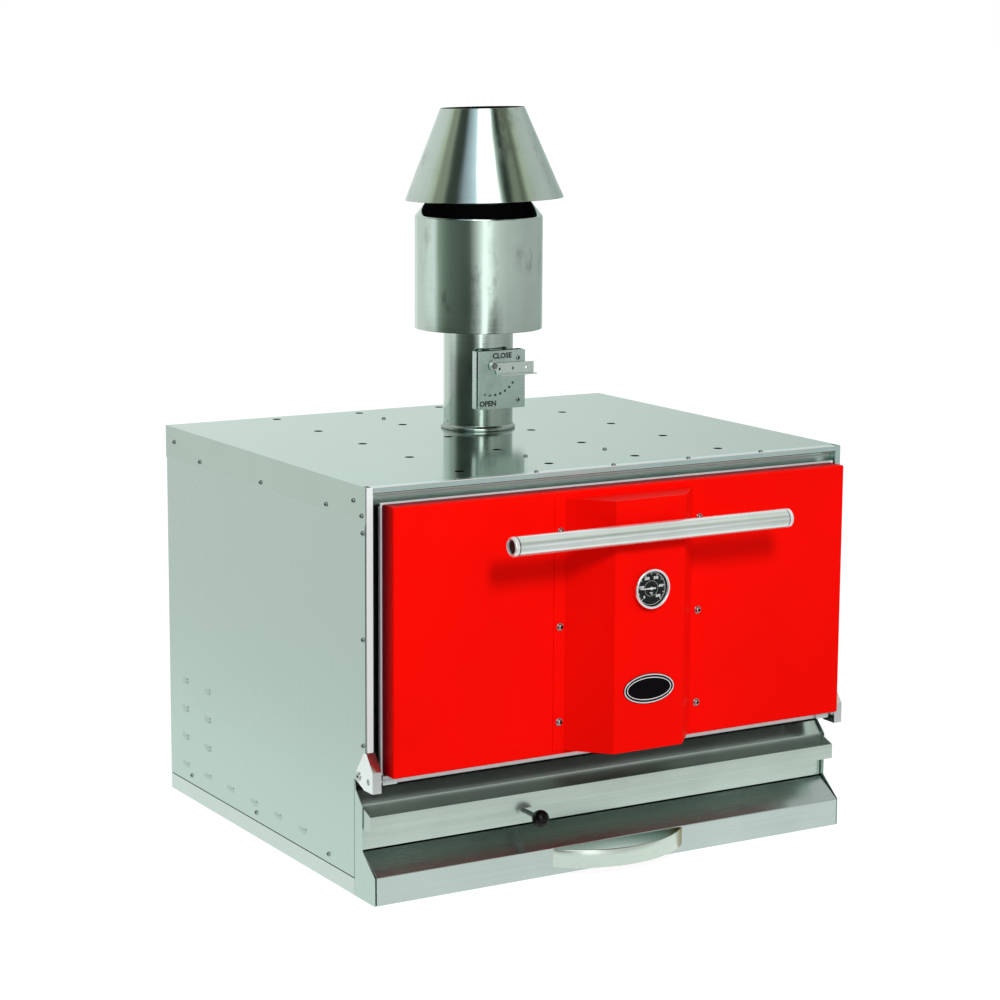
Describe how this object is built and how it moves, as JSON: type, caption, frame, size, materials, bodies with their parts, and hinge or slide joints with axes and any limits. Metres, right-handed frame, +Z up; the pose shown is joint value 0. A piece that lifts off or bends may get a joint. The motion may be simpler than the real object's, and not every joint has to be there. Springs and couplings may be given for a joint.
{
  "type": "charcoal grill oven",
  "caption": "Charcoal grill oven: stainless cabinet, red drop-down door with tube handle and thermometer, drip gutter, ash drawer, air control and flue with damper and open hat.",
  "frame": {"origin": "on the surface the oven stands on, in the plane of the cabinet's front frame, at the middle of its width", "axes": "+Z up; +X to the right as seen from the front; +Y from the front to the back, so the door faces -Y"},
  "size_m": [0.93, 0.9075, 1.2379],
  "materials": {
    "cabinet_sheet": "fine brushed stainless sheet",
    "base_sheet": "brushed stainless sheet with a light mill grain",
    "top_sheet": "bright cold-rolled stainless sheet",
    "trim_sheet": "brushed stainless folded strip",
    "inner_sheet": "dull heat-tinted stainless sheet",
    "gutter_sheet": "brushed stainless, grain along the width",
    "bracket_steel": "polished stainless plate",
    "bolt_steel": "bright turned stainless",
    "screw_steel": "bright zinc-plated heads",
    "chamber_steel": "heat-resistant matt black on steel plate",
    "cast_grate": "rough cast iron",
    "grill_steel": "drawn stainless bar",
    "brick": "dense refractory brick, matt",
    "wool": "white needled wool blanket",
    "gasket_rope": "woven grey rope",
    "red_enamel": "smooth satin red enamel",
    "handle_steel": "polished stainless tube, brushed lengthways",
    "bezel_chrome": "bright chrome",
    "dial_face": "matt black dial with white graduations",
    "pointer_paint": "white painted",
    "clear_glass": "clear flat glass",
    "plaque": "black enamel oval with bright rims",
    "flue_steel": "brushed stainless tube and cone",
    "collar_steel": "polished stainless bead",
    "damper_steel": "brushed stainless plate",
    "drawer_sheet": "brushed stainless, grain along the width",
    "bow_steel": "brushed stainless strip",
    "knob_plastic": "black phenolic ball",
    "control_steel": "drawn steel rod"
  },
  "bodies": {
    "cabinet": {"base_pan": "base_sheet", "left_side_panel": "cabinet_sheet", "right_side_panel": "cabinet_sheet", "rear_panel": "cabinet_sheet", "top_cap": "top_sheet", "front_plate": "inner_sheet", "left_trim": "trim_sheet", "right_trim": "trim_sheet", "top_trim": "trim_sheet", "left_cheek": "cabinet_sheet", "right_cheek": "cabinet_sheet", "drip_gutter": "gutter_sheet", "apron": "gutter_sheet", "left_hinge_bracket": "bracket_steel", "right_hinge_bracket": "bracket_steel", "hinge_bolts": "bolt_steel", "chamber_roof": "chamber_steel", "chamber_left": "chamber_steel", "chamber_right": "chamber_steel", "chamber_back": "chamber_steel", "chamber_wool": "wool", "charcoal_grate": "cast_grate", "fire_bricks": "brick", "rack_rails": "grill_steel", "cooking_grill": "grill_steel", "air_bulkhead": "inner_sheet", "drawer_runners": "inner_sheet", "cabinet_screws": "screw_steel", "flue_collar": "collar_steel", "flue_tube": "flue_steel", "damper_bracket": "damper_steel", "damper_dial": "damper_steel", "drum": "flue_steel", "drum_baffle": "flue_steel", "hat": "flue_steel", "hat_struts": "flue_steel"},
    "door": {"door_skin": "red_enamel", "door_pan": "trim_sheet", "door_wool": "wool", "door_gasket": "gasket_rope", "handle_cover": "red_enamel", "cover_screws": "screw_steel", "handle_tube": "handle_steel", "handle_caps": "bezel_chrome", "handle_bolts": "bolt_steel", "thermometer_case": "bezel_chrome", "thermometer_dial": "dial_face", "thermometer_glass": "clear_glass", "badge_plate": "plaque", "door_pivots": "bolt_steel"},
    "thermometer_needle": {"pointer": "pointer_paint"},
    "ash_drawer": {"drawer_pan": "drawer_sheet", "drawer_front": "drawer_sheet", "drawer_handle": "bow_steel"},
    "air_control": {"air_valve": "control_steel", "air_knob": "knob_plastic"},
    "damper": {"damper_disc": "damper_steel", "damper_shaft": "control_steel", "damper_lever": "damper_steel"}
  },
  "joints": [
    {"name": "door_hinge", "type": "hinge", "parent": "cabinet", "child": "door", "pos_m": [0, -0.006, 0.201], "axis": [1, 0, 0], "range_deg": [0, 90]},
    {"name": "needle_pivot", "type": "hinge", "parent": "door", "child": "thermometer_needle", "pos_m": [0, -0.109, 0.485], "axis": [0, 1, 0], "range_deg": [-45, 225]},
    {"name": "ash_drawer_slide", "type": "slide", "parent": "cabinet", "child": "ash_drawer", "axis": [0, -1, 0], "range_m": [0, 0.35]},
    {"name": "air_control_slide", "type": "slide", "parent": "cabinet", "child": "air_control", "axis": [0, -1, 0], "range_m": [0, 0.04]},
    {"name": "damper_pivot", "type": "hinge", "parent": "cabinet", "child": "damper", "pos_m": [0.0027, 0.487, 0.7903], "axis": [0, 1, 0], "range_deg": [0, 90]}
  ]
}
